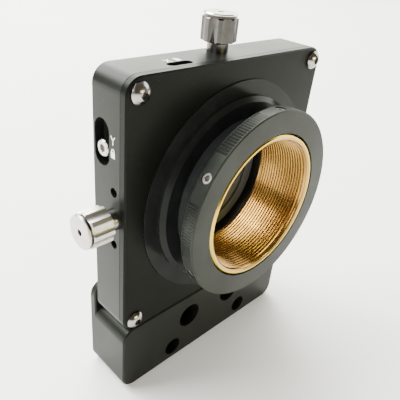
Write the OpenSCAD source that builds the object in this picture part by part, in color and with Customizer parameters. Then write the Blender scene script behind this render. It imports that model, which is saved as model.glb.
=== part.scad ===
// Two-axis lens mount. A square frame stands on a foot. A round stage shifts up and down and
// sideways in it, driven by a fluted knob on each axis. A knurled collar turns on the stage's
// neck and holds a long brass ring with a fine internal thread.
// The origin is the centre of the foot's underside. +X is to the right seen from the front,
// the front looks along -Y, and +Z is up.

/* [Frame] */
// Wall between the pocket and the frame's left side
left_wall = 6.6; // [6:0.1:9]
// Wall between the pocket and the frame's top
top_wall = 6.4; // [6:0.1:9]
// Corner radius of the frame, seen from the front
frame_corner_r = 4.7; // [3:0.1:5.5]
// Thickness of the front cover
cover_t = 2.15; // [1.8:0.05:3]
// Thickness of the frame's back wall
back_wall = 1.7; // [1.2:0.1:3]
// Wall between the pocket and the frame's right side
side_wall = 1.8; // [1.5:0.1:2.4]
// Wall between the pocket and the frame's underside
floor_wall = 3; // [2.6:0.1:3.6]
// Radius of the hole in the back wall
rear_hole_r = 22.4; // [16:0.1:23]
// Distance of the cover screws from the frame's edges
screw_inset = 3.9; // [3.6:0.05:4.4]
// Chamfer on the outer edges of frame, cover and foot
edge_c = 0.4; // [0.2:0.05:0.6]

/* [Foot] */
// Height of the foot under the frame
base_h = 25; // [23:0.5:40]
// Gap between the frame's back and the flange
flange_gap = 1.2; // [0.8:0.1:4]
// Corner radius of the foot, seen from the front
base_corner_r = 4.35; // [3:0.05:5]
// Thickness of the upright flange behind the frame
flange_t = 2.8; // [2.2:0.1:3]
// Height of the flange above the frame's underside
flange_rise = 8; // [7.5:0.1:14]
// Slit between foot and frame
base_gap = 0.3; // [0.2:0.05:0.6]
// Distance between the two counterbored holes
upper_hole_spacing = 20; // [18:0.5:30]
// Height of the counterbored holes
upper_hole_z = 15.8; // [14:0.1:17]
// Radius of the counterbores
counterbore_r = 4.45; // [4:0.05:5]
// Depth of the counterbores
counterbore_l = 6; // [4:0.5:10]
// Radius of the through holes behind the counterbores
upper_hole_r = 2.75; // [2.2:0.05:3.3]
// Distance between the two plain holes
lower_hole_spacing = 34; // [30:0.5:48]
// Height of the plain holes
lower_hole_z = 5.3; // [4.6:0.1:6.5]
// Radius of the plain holes
lower_hole_r = 3.25; // [2.2:0.05:3.3]

/* [Stage] */
// Width of the stage's flat face beside the ring
stage_land = 2.75; // [2.2:0.05:6]
// Distance of the opening's edge past the flat face
opening_past = 1.6; // [0.4:0.1:1.8]
// Travel of the stage each way, on both axes
travel = 1; // [0.6:0.1:1.1]
// Thickness of the sideways slide
xplate_t = 4.8; // [4.4:0.1:6]
// Thickness of the upright slide
yplate_t = 4.7; // [4.4:0.1:6]
// Width of the stage ring's flat front, from the neck to the bevel
bevel_gap = 4.4; // [2.8:0.1:5]
// Width of the bevel
bevel_w = 1.45; // [0.8:0.05:3]
// Height of the bevel
bevel_h = 1.05; // [0.4:0.05:1.6]
// Height of the stage ring in front of the cover
ring_h = 2.4; // [1.2:0.1:3]
// Radius of the guide rods
rod_r = 1; // [0.8:0.05:1.1]

/* [Neck and inner rings] */
// Wall of the neck
neck_wall = 1.3; // [1:0.05:2]
// Free length of the neck between stage ring and collar
neck_show = 5.4; // [4:0.1:10]
// Step from the thread's crests out to the dark tube behind the brass ring
tube_step = 0.4; // [0.3:0.05:0.8]
// Width of the spacer ring
spacer_w = 3.85; // [2:0.05:5]
// Gap between the spacer ring and the aperture ring
aperture_gap = 0.6; // [0.4:0.1:1.2]
// Width of the aperture ring
aperture_w = 3.4; // [2:0.1:4]

/* [Collar] */
// Height of the knurled band over the neck
collar_wall = 5.6; // [5:0.1:8]
// Width of the collar's band
collar_band = 4.3; // [4:0.1:6]
// Width of the taper behind the band
collar_taper = 1.85; // [1.6:0.05:3]
// Height of the collar's back edge over the neck
collar_back_wall = 3; // [2:0.1:4]
// Teeth in each knurled stretch
knurl_teeth = 18; // [8:1:24]
// Angle of each knurled stretch
knurl_arc = 33; // [20:1:44]
// Depth of the knurl
knurl_depth = 0.35; // [0.2:0.05:0.5]
// Set screws round the collar
collar_screws = 6; // [3:1:6]

/* [Brass ring] */
// Radius of the thread's crests
thread_r = 20.5; // [17:0.5:26]
// Length of the threaded bore
thread_l = 18.3; // [15:0.1:18.6]
// Width of the chamfer in front of the thread
lip_chamfer = 0.8; // [0.4:0.05:1.2]
// Width of the front lip
lip_w = 1.85; // [1.6:0.05:3]

/* [Knobs] */
// Radius of the knobs
knob_r = 5; // [4.4:0.1:6]
// Length of the knobs
knob_l = 7.4; // [6:0.1:12]
// Distance of the knobs from the frame
knob_gap = 2.8; // [2.4:0.1:5]
// Flutes round each knob
flutes = 8; // [6:1:12]
// Depth of the flutes
flute_depth = 0.6; // [0.3:0.05:0.8]
// Radius of the adjuster screws
adjuster_r = 1.5; // [1.2:0.05:1.6]
// Outer radius of the adjuster bushings in the wall
bush_r = 2.25; // [2.1:0.05:2.3]
// Radius of the bushings' heads
bush_head_r = 3; // [2.6:0.1:3.4]

/* [Slots and holes in the frame] */
// Length of the slot over the sideways lock screw
xslot_l = 8; // [6:0.1:9]
// Width of the slot over the sideways lock screw
xslot_w = 2.7; // [2:0.1:2.8]
// Length of the recess round the upright lock screw
yslot_l = 12.5; // [9:0.1:14]
// Width of the recess round the upright lock screw
yslot_w = 6; // [5:0.1:6.2]
// Radius of the two spring holes beside the left knob
spring_hole_r = 1.35; // [1.2:0.05:1.5]
// Distance of the spring holes from the left knob's axis
spring_offset = 8; // [6.5:0.1:10]

/* [Hidden] */
$fn = 96;

// Clearances
fit_gap = 0.02;     // pieces pressed or screwed together
run_gap = 0.05;     // round pieces that turn or slide in one another
slide_gap = 0.1;    // flat faces that slide past each other
face_gap = 0.15;    // slide to cover, and slide to the pocket's sides
end_gap = 0.2;      // left between slide and pocket at full travel
over = 1;           // how far a cutter reaches past the face it cuts
seam_c = 0.1;       // chamfer along the seam between cover and frame

// Radii from the thread outwards, then the rings inside the tube
lip_r = thread_r + lip_chamfer;
lip_outer_r = lip_r + lip_w;
neck_in_r = lip_outer_r - 0.45;
brass_tube_r = neck_in_r - slide_gap;
neck_r = neck_in_r + neck_wall;
collar_in_r = lip_outer_r + 0.3;
collar_r = neck_r + collar_wall;
collar_back_r = neck_r + collar_back_wall;
bevel_rim_r = neck_r + bevel_gap;
bevel_base_r = bevel_rim_r + bevel_w;
slide_half = bevel_base_r + stage_land;
opening_r = slide_half + opening_past;
tube_r = thread_r + tube_step;
spacer_r = tube_r - run_gap - spacer_w;
aperture_outer_r = spacer_r - aperture_gap;
aperture_r = aperture_outer_r - aperture_w;

// Layers from front to back
base_d = cover_t + face_gap + xplate_t + yplate_t + 2 * slide_gap + back_wall + flange_gap + flange_t;
front_y = -base_d / 2;
seam_y = front_y + cover_t;
xplate_y = seam_y + face_gap;
yplate_y = xplate_y + xplate_t + slide_gap;
pocket_back_y = yplate_y + yplate_t + slide_gap;
frame_back_y = pocket_back_y + back_wall;
body_d = frame_back_y - seam_y;
xplane_y = xplate_y + xplate_t / 2;
yplane_y = yplate_y + yplate_t / 2;
flange_y = base_d / 2 - flange_t;

// Stage, pocket and frame
pocket_half = slide_half + travel + end_gap;
frame_w = left_wall + 2 * pocket_half + side_wall;
frame_h = floor_wall + 2 * pocket_half + top_wall;
base_w = frame_w;
frame_z = base_h + base_gap;
frame_top_z = frame_z + frame_h;
stage_x = frame_w / 2 - side_wall - pocket_half;
stage_z = frame_z + floor_wall + pocket_half;
post_w = 6;
post_h = 4.8;
slide_side_half = pocket_half - face_gap;
slide_reach = travel + end_gap;
rim_t = 0.5;
rim_r = opening_r + travel * sqrt(2);

// Guide rods and springs
yrod_dx = (neck_r + travel + slide_side_half) / 2 + 0.2;
yrod_seat = 3;
yrod_half = pocket_half - post_h + yrod_seat;
xrod_dz = neck_r + rod_r + 2.9;
ear_w = 3.1;
ear_x = pocket_half - post_w - 0.4 - ear_w;
ear_h = 2 * rod_r + 2;
spring_bore_r = rod_r + 0.75;
spring_bore_l = 7;
upright_coil_r = rod_r + 0.38;
upright_wire_r = 0.2;
side_coil_r = spring_hole_r - 0.4;
side_wire_r = 0.18;
spring_pin_r = 0.4;
spring_pin_l = 4.4;
anchor_pin_x = -frame_w / 2 + 1.6;
stage_edge_x = stage_x - slide_half;
stage_pin_in = 4.6;
stage_pin_x = stage_edge_x + stage_pin_in;
stage_spring_hole_l = stage_pin_in + 1.4;

// Adjusters. Each is drawn with the frame's outer face at 0 and +Z pointing out of the frame.
adjuster_z = frame_z + frame_h / 2;
adjuster_x = 0;
ball_r = 1;
pad_r = 2;
pad_t = 1;
tip_gap = 0.03;
knob_cap = 1.2;
knob_hole_r = 0.9;
bush_head_h = knob_gap - 0.2;

// Lock screws
xlock_x = stage_x - ear_x + 3.25;
xslot_y = xplane_y - 0.4;
xlock_r = 1.5;
ylock_z = stage_z + slide_half - post_h - 7.6;
yslot_z = ylock_z + 1.7;
ylock_r = 1.25;
ylock_head_r = 2.2;
ylock_head_h = 2.5;
ylock_recess = ylock_head_h + 0.15;
ylock_hold = slide_side_half - yrod_dx - rod_r - 0.32;

// Screws, M3 button heads on the cover and countersunk heads in the foot
m3_r = 1.5;
m3_clear_r = 1.7;
m3_head_r = 2.75;
m3_head_h = 1.85;
cover_screw_l = 8;
base_screw_l = base_d / 2 - yplane_y - rod_r - 0.15;
sink_h = 1.65;
sink_r = 2.9;
base_screw_inset = 4.5;
base_screw_x = frame_w / 2 - base_screw_inset;
base_screw_z = frame_z + flange_rise / 2;

// Collar and rings, along Y
ring_y = front_y - ring_h;
collar_back_y = ring_y - neck_show;
band_y = collar_back_y - collar_taper;
collar_front_y = band_y - collar_band;
set_screw_y = collar_front_y + collar_band / 2;
flange_l = 3.8;
neck_front_y = collar_front_y + flange_l + slide_gap;
thread_end_y = collar_front_y + lip_chamfer + thread_l;
tube_end_y = pocket_back_y - 0.4;
tube_floor = 1.45;
spacer_t = 1.7;
shoulder_y = tube_end_y - tube_floor;
spacer_y = shoulder_y - spacer_t;
snap_y = neck_front_y + 0.65;
snap_w = 0.75;
knurl_first = 86.25;
set_screw_in = 0.4;

// Helpers

// A front-view outline, drawn in X and Z, from y0 backwards by t
module slab(y0, t) {
    translate([0, y0 + t, 0]) rotate([90, 0, 0]) linear_extrude(t) children();
}

// Turns a shape drawn along +Z so that it points backwards from (x, y, z)
module back_from(x, y, z) {
    translate([x, y, z]) rotate([-90, 0, 0]) children();
}

// A solid of revolution round the stage's axis, from points of radius and y
module turned(points) {
    back_from(stage_x, 0, stage_z) rotate_extrude() polygon(points);
}

// Turns a shape drawn along +Z so that it points to the right from (x, y, z)
module right_from(x, y, z) {
    translate([x, y, z]) rotate([0, 90, 0]) children();
}

// Places an adjuster's shape on the left side or on the top of the frame
module on_left() {
    translate([-frame_w / 2, xplane_y, adjuster_z]) rotate([0, -90, 0]) children();
}
module on_top() {
    translate([adjuster_x, yplane_y, frame_top_z]) children();
}

// A plate with round corners, its front and back edges chamfered by cf and cb.
// It is centred on X, stands on z0 and runs from y0 backwards by t.
module plate(w, h, t, r, y0, z0, cf, cb) {
    side = [[cf, 0], [t - cb, 0], [t, cb], [t, h - cb], [t - cb, h], [cf, h], [0, h - cf], [0, cf]];
    face = [[w / 2, cf], [w / 2, t - cb], [w / 2 - cb, t], [cb - w / 2, t], [-w / 2, t - cb],
        [-w / 2, cf], [cf - w / 2, 0], [w / 2 - cf, 0]];
    translate([0, y0, z0]) {
        translate([r - w / 2, 0, 0]) rotate([90, 0, 90]) linear_extrude(w - 2 * r) polygon(side);
        translate([0, 0, r]) linear_extrude(h - 2 * r) polygon(face);
        for (x = [r - w / 2, w / 2 - r], z = [r, h - r])
            back_from(x, 0, z) rotate_extrude()
                polygon([[0, 0], [r - cf, 0], [r, cf], [r, t - cb], [r - cb, t], [0, t]]);
    }
}

// A plus-shaped outline round the stage's axis
module plus_outline(wide, wide_h, tall_w, tall) {
    translate([stage_x, stage_z]) {
        square([2 * wide, 2 * wide_h], center = true);
        square([2 * tall_w, 2 * tall], center = true);
    }
}

// A slot with round ends along Z (upright) or X, drawn flat
module slot_outline(l, w, upright) {
    rotate(upright ? 90 : 0) {
        square([l - w, w], center = true);
        for (s = [-1, 1])
            translate([s * (l - w) / 2, 0]) circle(d = w);
    }
}

// The four places of the cover screws
module at_cover_screws(y) {
    for (x = [-1, 1], z = [screw_inset, frame_h - screw_inset])
        back_from(x * (frame_w / 2 - screw_inset), y, frame_z + z) children();
}

// The two places of the foot's screws
module at_base_screws(y) {
    for (s = [-1, 1])
        back_from(s * base_screw_x, y, base_screw_z) children();
}

// The places of the collar's set screws, each pointing out from the axis
module at_set_screws() {
    for (i = [0 : collar_screws - 1])
        translate([stage_x, set_screw_y, stage_z])
            rotate([0, 90 - knurl_first - i * 360 / collar_screws, 0]) children();
}

function unit(v) = v / norm(v);

// A wire of radius r swept along path
module wire(path, r, sides = 6) {
    n = len(path);
    tangents = [for (i = [0 : n - 1]) unit(path[min(i + 1, n - 1)] - path[max(i - 1, 0)])];
    start = unit(cross(tangents[0], [0.3, 0.5, 0.81]));
    normals = [for (i = 0, v = start; i < n;
        i = i + 1, v = i < n ? unit(v - tangents[i] * (v * tangents[i])) : v) v];
    points = [for (i = [0 : n - 1], k = [0 : sides - 1])
        path[i] + r * (cos(360 * k / sides) * normals[i]
            + sin(360 * k / sides) * cross(tangents[i], normals[i]))];
    walls = [for (i = [0 : n - 2], k = [0 : sides - 1])
        [i * sides + k, i * sides + (k + 1) % sides, (i + 1) * sides + (k + 1) % sides,
            (i + 1) * sides + k]];
    first = [for (k = [sides - 1 : -1 : 0]) k];
    last = [for (k = [0 : sides - 1]) (n - 1) * sides + k];
    polyhedron(points, concat([first], walls, [last]));
}

// A compression coil along +Z with nearly closed end turns
function coil(r, l, turns, steps = 12) = [for (i = [0 : turns * steps])
    let (u = i / (turns * steps), a = 360 * i / steps)
    [r * cos(a), r * sin(a), l * (u - 0.7 * sin(360 * u) / 6.283)]];

// A tension spring along +Z between two pins that lie along Y, with a hook at each end
function tension_spring(r, l, hook_r, turns, steps = 8) =
    let (lead = hook_r + 0.35,
        coils = [for (i = [0 : turns * steps])
            let (u = i / (turns * steps), a = 180 + 360 * i / steps)
            [r * cos(a), r * sin(a), lead + (l - 2 * lead) * u]])
    concat([for (a = [-100 : 25 : 75]) [-hook_r * cos(a), 0, hook_r * sin(a)]],
        coils,
        [for (a = [-75 : 25 : 100]) [-hook_r * cos(a), 0, l + hook_r * sin(a)]]);

// Frame and foot

module base_block() {
    color([0.11, 0.12, 0.12]) difference() {
        union() {
            plate(base_w, base_h, base_d, base_corner_r, front_y, 0, edge_c, edge_c);
            plate(base_w, frame_z + flange_rise, flange_t, base_corner_r, flange_y, 0, edge_c, edge_c);
            // Land that the frame stands on
            translate([-frame_w / 2 + frame_corner_r, front_y + 1.2, base_h - over])
                cube([frame_w - 2 * frame_corner_r, flange_y - front_y, base_gap + over]);
            // Pad that the frame's back seats on
            translate([1.8 - frame_w / 2, frame_back_y, frame_z + 0.6])
                cube([frame_w - 3.6, flange_y - frame_back_y + over, flange_rise - 2]);
        }
        for (s = [-1, 1]) {
            back_from(s * upper_hole_spacing / 2, front_y - over, upper_hole_z)
                cylinder(r = counterbore_r, h = counterbore_l + over);
            back_from(s * upper_hole_spacing / 2, front_y, upper_hole_z)
                cylinder(r = upper_hole_r, h = base_d + over);
            back_from(s * lower_hole_spacing / 2, front_y - over, lower_hole_z)
                cylinder(r = lower_hole_r, h = base_d + 2 * over);
        }
        at_base_screws(frame_back_y - over) cylinder(r = m3_clear_r, h = base_d);
        at_base_screws(base_d / 2 - sink_h - 0.1)
            cylinder(r1 = m3_clear_r, r2 = sink_r + 0.2, h = sink_h + 0.11);
    }
}

module frame_body() {
    color([0.10, 0.11, 0.11]) difference() {
        plate(frame_w, frame_h, body_d, frame_corner_r, seam_y, frame_z, seam_c, edge_c);
        slab(seam_y - over, pocket_back_y - seam_y + over)
            plus_outline(pocket_half, pocket_half - post_h, pocket_half - post_w, pocket_half);
        back_from(stage_x, pocket_back_y - over, stage_z) cylinder(r = rear_hole_r, h = back_wall + 2 * over);
        at_cover_screws(seam_y - over) cylinder(r = m3_r + fit_gap, h = cover_screw_l - cover_t + 0.5 + over);
        at_base_screws(base_d / 2 - base_screw_l - 0.1) cylinder(r = m3_r + fit_gap, h = base_d);
        for (s = [-1, 1])
            translate([stage_x + s * yrod_dx, yplane_y, stage_z - yrod_half])
                cylinder(r = rod_r + fit_gap, h = 2 * yrod_half);
        on_left() translate([0, 0, -left_wall - over]) cylinder(r = bush_r + fit_gap, h = left_wall + 2 * over);
        on_top() translate([0, 0, -top_wall - over]) cylinder(r = bush_r + fit_gap, h = top_wall + 2 * over);
        // Slot in the top over the sideways lock screw
        translate([xlock_x, xslot_y, frame_top_z - top_wall - over])
            linear_extrude(top_wall + 2 * over) slot_outline(xslot_l, xslot_w, false);
        // Stepped slot in the left side round the upright lock screw
        right_from(-frame_w / 2 - over, yplane_y, yslot_z)
            linear_extrude(ylock_recess + over) slot_outline(yslot_l, yslot_w, false);
        right_from(-frame_w / 2, yplane_y, yslot_z)
            linear_extrude(left_wall + over)
                slot_outline(yslot_l - yslot_w + 2 * ylock_r, 2 * ylock_r + 0.4, false);
        // Spring holes beside the left knob, and the pin holes that cross them
        for (s = [-1, 1]) {
            right_from(-frame_w / 2 - over, xplane_y, adjuster_z + s * spring_offset)
                cylinder(r = spring_hole_r, h = left_wall + 2 * over);
            back_from(anchor_pin_x, seam_y - over, adjuster_z + s * spring_offset)
                cylinder(r = spring_pin_r + fit_gap, h = spring_pin_l + over + 0.2);
        }
    }
}

module front_cover() {
    color([0.12, 0.13, 0.13]) difference() {
        plate(frame_w, frame_h, cover_t, frame_corner_r, front_y, frame_z, edge_c, seam_c);
        turned([[0, front_y - over], [opening_r + seam_c + over, front_y - over],
            [opening_r, front_y + seam_c], [opening_r, seam_y + over], [0, seam_y + over]]);
        at_cover_screws(front_y - over) cylinder(r = m3_clear_r, h = cover_t + 2 * over);
    }
}

// One button-head screw with its shank along +Z and its head's seat at 0
module button_screw(l) {
    difference() {
        union() {
            cylinder(r = m3_r, h = l);
            translate([0, 0, -m3_head_h]) rotate_extrude() intersection() {
                square([m3_head_r, m3_head_h]);
                translate([0, 3.4]) circle(r = 3.4);
            }
        }
        translate([0, 0, -m3_head_h - over]) cylinder(d = 2 / cos(30), h = 1.1 + over, $fn = 6);
    }
}

module cover_screws() {
    color([0.75, 0.74, 0.72]) at_cover_screws(front_y) button_screw(cover_screw_l);
}

module base_screws() {
    color([0.2, 0.2, 0.2]) at_base_screws(base_d / 2 - base_screw_l) difference() {
        union() {
            cylinder(r = m3_r, h = base_screw_l - 0.2);
            translate([0, 0, base_screw_l - sink_h - 0.05])
                cylinder(r1 = m3_r - 0.1, r2 = sink_r, h = sink_h - 0.1);
        }
        translate([0, 0, base_screw_l - 1.3]) cylinder(d = 2 / cos(30), h = 2, $fn = 6);
    }
}

module upright_guide_rods() {
    color([0.72, 0.72, 0.72]) for (s = [-1, 1])
        translate([stage_x + s * yrod_dx, yplane_y, stage_z - yrod_half + fit_gap])
            cylinder(r = rod_r, h = 2 * (yrod_half - fit_gap));
}

module upright_springs() {
    seat_z = stage_z - pocket_half + post_h + upright_wire_r + run_gap;
    roof_z = stage_z - pocket_half + post_h + slide_reach + spring_bore_l - upright_wire_r - run_gap;
    color([0.7, 0.7, 0.68]) for (s = [-1, 1])
        translate([stage_x + s * yrod_dx, yplane_y, seat_z])
            wire(coil(upright_coil_r, roof_z - seat_z, 6), upright_wire_r);
}

module side_springs() {
    color([0.7, 0.7, 0.68]) for (s = [-1, 1])
        right_from(anchor_pin_x, xplane_y, adjuster_z + s * spring_offset)
            wire(tension_spring(side_coil_r, stage_pin_x - anchor_pin_x,
                spring_pin_r + side_wire_r + 0.04, 10), side_wire_r, 5);
}

module spring_pins(x, y) {
    color([0.7, 0.7, 0.7]) for (s = [-1, 1])
        back_from(x, y + fit_gap, adjuster_z + s * spring_offset) cylinder(r = spring_pin_r, h = spring_pin_l);
}

module side_spring_anchor_pins() {
    spring_pins(anchor_pin_x, seam_y);
}

module side_spring_stage_pins() {
    spring_pins(stage_pin_x, xplate_y);
}

// Slides

module upright_slide() {
    ear_d = yplate_y - xplate_y - rim_t - 0.15;
    color([0.16, 0.16, 0.17]) difference() {
        union() {
            slab(yplate_y, yplate_t)
                plus_outline(slide_side_half, slide_half - post_h, ear_x + ear_w, slide_half);
            for (sx = [-1, 1], sz = [-1, 1])
                translate([stage_x + sx * (ear_x + ear_w / 2), yplate_y - ear_d / 2 + over / 2,
                    stage_z + sz * xrod_dz]) cube([ear_w, ear_d + over, ear_h], center = true);
        }
        back_from(stage_x, yplate_y - over, stage_z)
            cylinder(r = neck_r + travel + 0.3, h = yplate_t + 2 * over);
        for (s = [-1, 1]) {
            translate([stage_x + s * yrod_dx, yplane_y, stage_z - slide_half])
                cylinder(r = rod_r + run_gap, h = 2 * slide_half);
            translate([stage_x + s * yrod_dx, yplane_y, stage_z - slide_half])
                cylinder(r = spring_bore_r, h = post_h + spring_bore_l);
            right_from(stage_x - ear_x - ear_w - over, xplane_y, stage_z + s * xrod_dz)
                cylinder(r = rod_r + fit_gap, h = 2 * (ear_x + ear_w + over));
        }
        right_from(stage_x - slide_side_half - over, yplane_y, ylock_z)
            cylinder(r = ylock_r + fit_gap, h = ylock_hold + 0.2 + over);
        translate([adjuster_x, yplane_y, stage_z + slide_half - pad_t])
            cylinder(r = pad_r + fit_gap, h = pad_t + over);
    }
}

module cross_guide_rods() {
    color([0.72, 0.72, 0.72]) for (s = [-1, 1])
        right_from(stage_x - ear_x - ear_w + fit_gap, xplane_y, stage_z + s * xrod_dz)
            cylinder(r = rod_r, h = 2 * (ear_x + ear_w - fit_gap));
}

module top_thrust_pad() {
    color([0.7, 0.7, 0.72]) translate([adjuster_x, yplane_y, stage_z + slide_half - pad_t])
        cylinder(r = pad_r, h = pad_t);
}

module stage_slide() {
    rim_half = ear_x - slide_reach;
    band_half = xrod_dz - ear_h / 2 - 0.3;
    color([0.07, 0.07, 0.075]) difference() {
        union() {
            slab(xplate_y, xplate_t) plus_outline(slide_half, band_half, rim_half, slide_half);
            turned([[0, ring_y], [bevel_rim_r, ring_y], [bevel_base_r, ring_y + bevel_h],
                [bevel_base_r, xplate_y + 0.05], [0, xplate_y + 0.05]]);
            // Thin rim that fills the cover's opening from behind
            intersection() {
                back_from(stage_x, xplate_y, stage_z) cylinder(r = rim_r, h = rim_t);
                translate([stage_edge_x, xplate_y - over, stage_z - slide_half])
                    cube([2 * slide_half, rim_t + 2 * over, 2 * slide_half]);
            }
        }
        back_from(stage_x, ring_y - over, stage_z) cylinder(r = neck_r + fit_gap, h = base_d);
        for (s = [-1, 1]) {
            right_from(stage_x - rim_half - over, xplane_y, stage_z + s * xrod_dz)
                cylinder(r = rod_r + run_gap, h = 2 * (rim_half + over));
            right_from(stage_edge_x - over, xplane_y, adjuster_z + s * spring_offset)
                cylinder(r = spring_hole_r, h = stage_spring_hole_l + over);
            back_from(stage_pin_x, xplate_y - over, adjuster_z + s * spring_offset)
                cylinder(r = spring_pin_r + fit_gap, h = spring_pin_l + over + 0.1);
        }
        translate([xlock_x, xplane_y, stage_z + xrod_dz])
            cylinder(r = xlock_r + fit_gap, h = slide_half - xrod_dz + over);
        right_from(stage_edge_x - over, xplane_y, adjuster_z)
            cylinder(r = pad_r + fit_gap, h = pad_t + over);
    }
}

module side_thrust_pad() {
    color([0.7, 0.7, 0.72]) right_from(stage_edge_x, xplane_y, adjuster_z) cylinder(r = pad_r, h = pad_t);
}

// Lock screws

// The cap screw that clamps the upright slide to the frame's left side
module upright_lock_screw() {
    hole_l = stage_x - slide_side_half + frame_w / 2 + ylock_hold;
    color([0.8, 0.8, 0.8]) translate([-frame_w / 2, yplane_y, ylock_z]) rotate([0, -90, 0]) difference() {
        union() {
            translate([0, 0, -hole_l]) cylinder(r = ylock_r, h = hole_l - 1);
            translate([0, 0, -0.1 - ylock_head_h]) rotate_extrude()
                polygon([[0, 0], [ylock_head_r, 0], [ylock_head_r, ylock_head_h - 0.25],
                    [ylock_head_r - 0.25, ylock_head_h], [0, ylock_head_h]]);
        }
        translate([0, 0, -1.4]) cylinder(d = 2 / cos(30), h = 1.4 + over, $fn = 6);
    }
}

// The set screw that clamps the stage slide to its upper guide rod
module sideways_lock_screw() {
    seat = stage_z + xrod_dz + rod_r + run_gap;
    l = slide_half - xrod_dz - rod_r - 0.4;
    color([0.3, 0.3, 0.3]) translate([xlock_x, xplane_y, seat]) difference() {
        cylinder(r = xlock_r, h = l);
        translate([0, 0, l - 1.2]) cylinder(d = 1.5 / cos(30), h = 1.2 + over, $fn = 6);
    }
}

// Adjusters

module bushing(wall) {
    color([0.62, 0.60, 0.56]) difference() {
        rotate_extrude() polygon([[0, -wall], [bush_r, -wall], [bush_r, 0], [bush_head_r, 0],
            [bush_head_r, bush_head_h - 0.3], [bush_head_r - 0.3, bush_head_h], [0, bush_head_h]]);
        translate([0, 0, -wall - over]) cylinder(r = adjuster_r + run_gap, h = wall + bush_head_h + 2 * over);
    }
}

// The height of the ball's centre, for a frame wall of this thickness
function ball_z(wall) = -wall - slide_reach + ball_r + tip_gap;

module ball_tip(wall) {
    color([0.8, 0.8, 0.82]) translate([0, 0, ball_z(wall)]) sphere(r = ball_r);
}

module adjuster_screw(wall) {
    tip = ball_z(wall);
    color([0.66, 0.66, 0.66]) difference() {
        translate([0, 0, tip + 0.15])
            cylinder(r = adjuster_r, h = knob_gap + knob_l - knob_cap - tip - 0.15 - fit_gap);
        translate([0, 0, tip - over]) cylinder(r = ball_r + run_gap, h = ball_r + over + tip_gap);
    }
}

module knob() {
    flute_half = PI * knob_r / flutes * 0.82;
    cutter_r = (pow(flute_half, 2) + pow(flute_depth, 2)) / (2 * flute_depth);
    end = knob_gap + knob_l;
    color([0.74, 0.72, 0.70]) difference() {
        rotate_extrude() polygon([[0, knob_gap], [knob_r - 0.25, knob_gap], [knob_r, knob_gap + 0.25],
            [knob_r, end - 1], [knob_r - 0.3, end - 1], [knob_r - 0.3, end - 0.75], [knob_r, end - 0.75],
            [knob_r, end - 0.3], [knob_r - 0.3, end], [0, end]]);
        for (i = [0 : flutes - 1])
            rotate((i + 0.5) * 360 / flutes)
                translate([knob_r - flute_depth + cutter_r, 0, knob_gap - over])
                    cylinder(r = cutter_r, h = knob_l - 1.2 + over);
        translate([0, 0, knob_gap - over]) cylinder(r = bush_head_r + 0.3, h = travel + 0.4 + over);
        translate([0, 0, knob_gap]) cylinder(r = adjuster_r + fit_gap, h = knob_l - knob_cap);
        translate([0, 0, knob_gap]) cylinder(r = knob_hole_r, h = knob_l + over);
    }
}

module side_bushing() { on_left() bushing(left_wall); }
module side_ball_tip() { on_left() ball_tip(left_wall); }
module side_adjuster_screw() { on_left() adjuster_screw(left_wall); }
module side_knob() { on_left() knob(); }
module top_bushing() { on_top() bushing(top_wall); }
module top_ball_tip() { on_top() ball_tip(top_wall); }
module top_adjuster_screw() { on_top() adjuster_screw(top_wall); }
module top_knob() { on_top() knob(); }

// Neck, collar and rings

module neck_tube() {
    rear = pocket_back_y - 0.3;
    color([0.05, 0.05, 0.055]) turned([[neck_in_r, neck_front_y], [neck_r, neck_front_y],
        [neck_r, snap_y - 0.05], [neck_r - 0.5, snap_y - 0.05], [neck_r - 0.5, snap_y + snap_w + 0.05],
        [neck_r, snap_y + snap_w + 0.05], [neck_r, rear], [neck_in_r, rear]]);
}

module inner_tube() {
    front = thread_end_y + slide_gap;
    color([0.04, 0.04, 0.045]) turned([[tube_r, front], [neck_in_r - run_gap, front],
        [neck_in_r - run_gap, tube_end_y], [aperture_r + 1, tube_end_y], [aperture_r + 1, shoulder_y],
        [tube_r, shoulder_y]]);
}

module spacer_ring() {
    color([0.3, 0.32, 0.31]) turned([[spacer_r, spacer_y], [tube_r - run_gap, spacer_y],
        [tube_r - run_gap, shoulder_y], [spacer_r, shoulder_y]]);
}

module aperture_ring() {
    front = spacer_y + 0.4;
    color([0.3, 0.32, 0.31]) turned([[aperture_r + 0.6, front], [aperture_outer_r, front],
        [aperture_outer_r, shoulder_y], [aperture_r, shoulder_y], [aperture_r, front + 0.6]]);
}

module snap_ring() {
    color([0.6, 0.6, 0.6]) difference() {
        turned([[neck_r - 0.45, snap_y], [neck_r + 0.4, snap_y], [neck_r + 0.4, snap_y + snap_w],
            [neck_r - 0.45, snap_y + snap_w]]);
        translate([stage_x - 2, snap_y - over, stage_z - neck_r - over])
            cube([4, snap_w + 2 * over, 3 * over]);
    }
}

// One knurled stretch's cutter, drawn flat: a row of V grooves round the collar's edge
module knurl_cutter(middle) {
    pitch = knurl_arc / knurl_teeth;
    teeth = [for (i = [0 : 2 * knurl_teeth])
        let (a = middle - knurl_arc / 2 + i * pitch / 2,
            r = i % 2 == 0 ? collar_r + 0.02 : collar_r - knurl_depth)
        [r * cos(a), r * sin(a)]];
    outside = [for (a = [knurl_arc / 2 : -knurl_arc / 6 : -knurl_arc / 2])
        (collar_r + over) * [cos(middle + a), sin(middle + a)]];
    polygon(concat(teeth, outside));
}

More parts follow.
